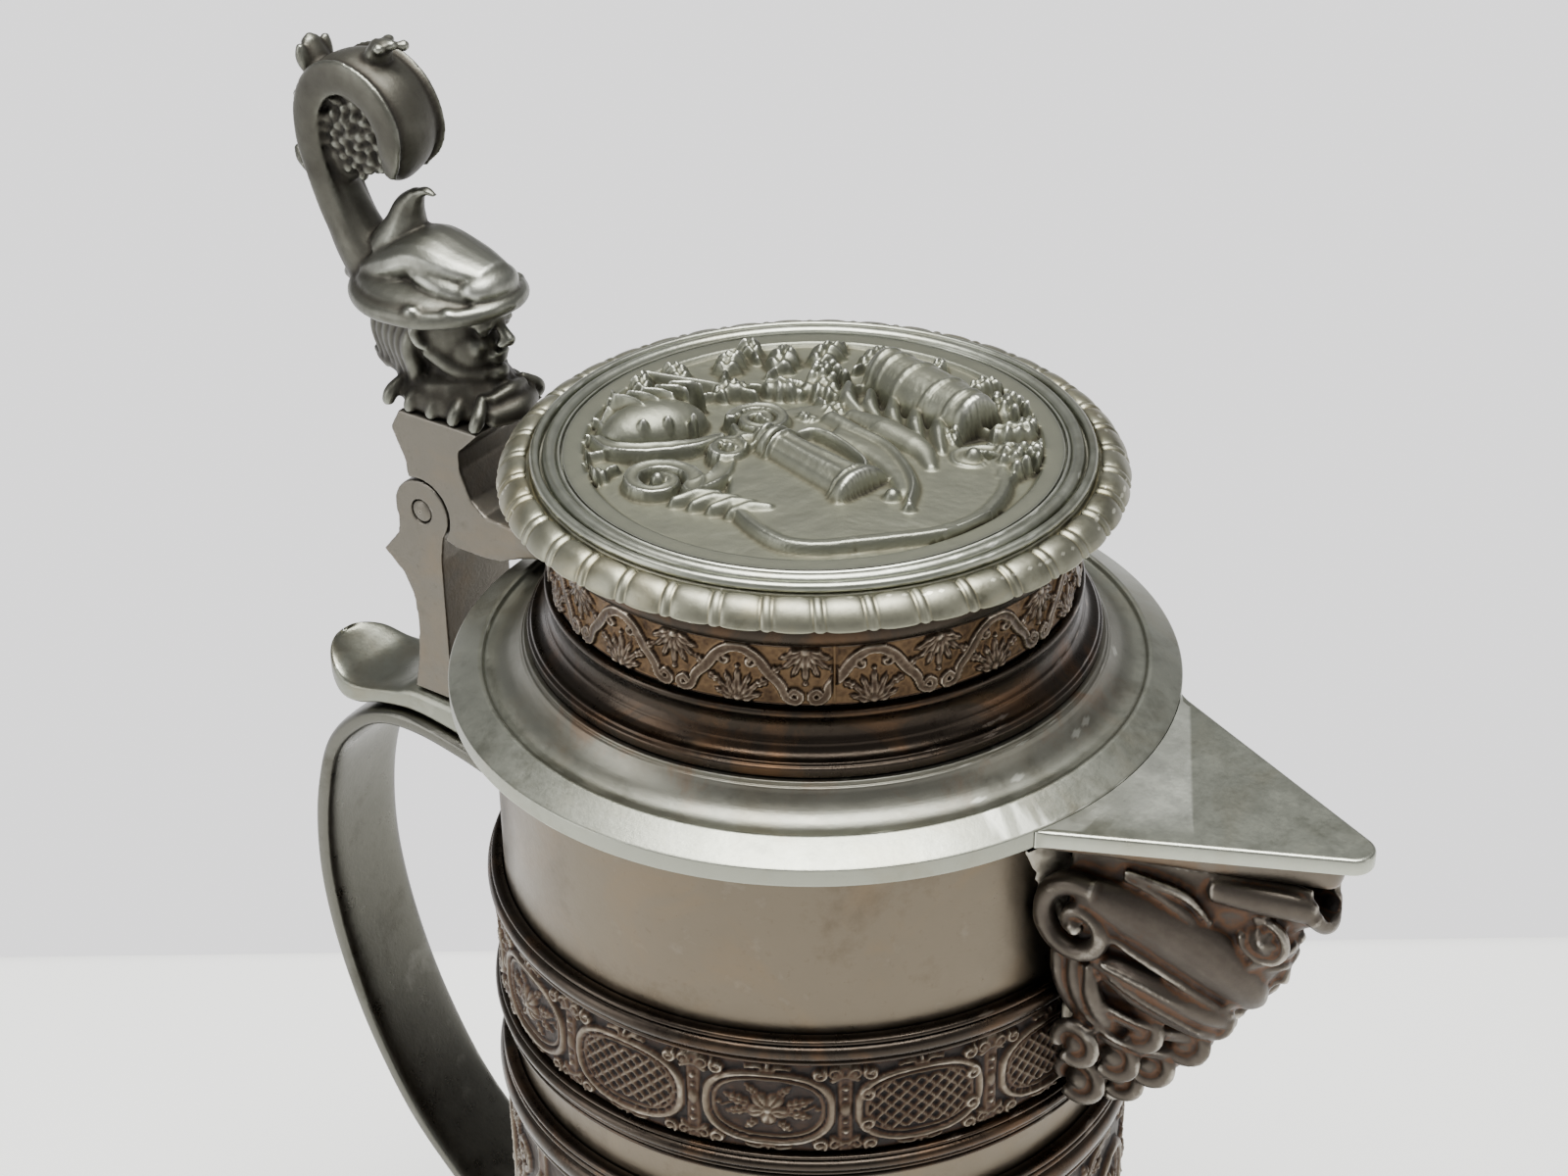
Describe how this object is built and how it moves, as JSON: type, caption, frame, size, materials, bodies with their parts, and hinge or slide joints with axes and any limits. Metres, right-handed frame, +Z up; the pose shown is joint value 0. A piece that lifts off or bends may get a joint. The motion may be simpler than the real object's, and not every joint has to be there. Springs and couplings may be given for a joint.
{
  "type": "lidded pewter pouring jug",
  "caption": "Cylindrical lidded pewter jug with covered triangular spout over a mask, strap handle, relief bands and a hinged drum lid with a figured thumbpiece",
  "frame": {"origin": "centre of the flat base, on the surface the jug stands on", "axes": "+Z up the body, +X towards the spout, +Y to the left of the spout seen from the handle; the lid hinge runs along Y"},
  "size_m": [0.2041, 0.123, 0.28],
  "materials": {
    "plain_pewter": "warm grey pewter, satin, faintly mottled",
    "green_pewter": "grey-green oxidised pewter, satin with pale worn edges",
    "moulding_pewter": "dark turned pewter with bright crests",
    "dark_pewter": "dark oxidised pewter, satin",
    "hinge_pewter": "flat filed pewter, matt",
    "solder_pewter": "pale rough solder",
    "patinated_relief": "cast relief with brown-black recesses and coppery highlights",
    "pin_metal": "filed flush pin end"
  },
  "bodies": {
    "jug": {"body_drum": "plain_pewter", "base_plate": "plain_pewter", "foot_ring": "moulding_pewter", "foot_bead": "moulding_pewter", "moulding_upper_top": "moulding_pewter", "relief_band_upper": "patinated_relief", "moulding_upper_bottom": "moulding_pewter", "moulding_middle_top": "moulding_pewter", "relief_band_middle": "patinated_relief", "moulding_middle_bottom": "moulding_pewter", "moulding_lower_top": "moulding_pewter", "relief_band_lower": "patinated_relief", "moulding_lower_bottom": "moulding_pewter", "shoulder_flange": "green_pewter", "spout_cover_plate": "green_pewter", "spout_cover_moulding": "plain_pewter", "spout_mask": "patinated_relief", "spout_back_plate": "solder_pewter", "handle_strap": "dark_pewter", "handle_thumb_rest": "dark_pewter", "hinge_bracket": "hinge_pewter", "hinge_pin": "pin_metal"},
    "lid": {"lid_hinge_lug": "hinge_pewter", "lid_bezel": "plain_pewter", "lid_base_ring": "moulding_pewter", "lid_drum": "moulding_pewter", "lid_frieze": "patinated_relief", "lid_upper_bead": "moulding_pewter", "lid_gadroon_rim": "green_pewter", "lid_plate": "green_pewter", "lid_outer_bead": "green_pewter", "lid_inner_torus": "green_pewter", "lid_medallion": "green_pewter", "thumbpiece": "dark_pewter"}
  },
  "joints": [
    {"name": "lid_hinge", "type": "hinge", "parent": "jug", "child": "lid", "pos_m": [-0.07424, 0, 0.20396], "axis": [0, -1, 0], "range_deg": [0, 95]}
  ]
}
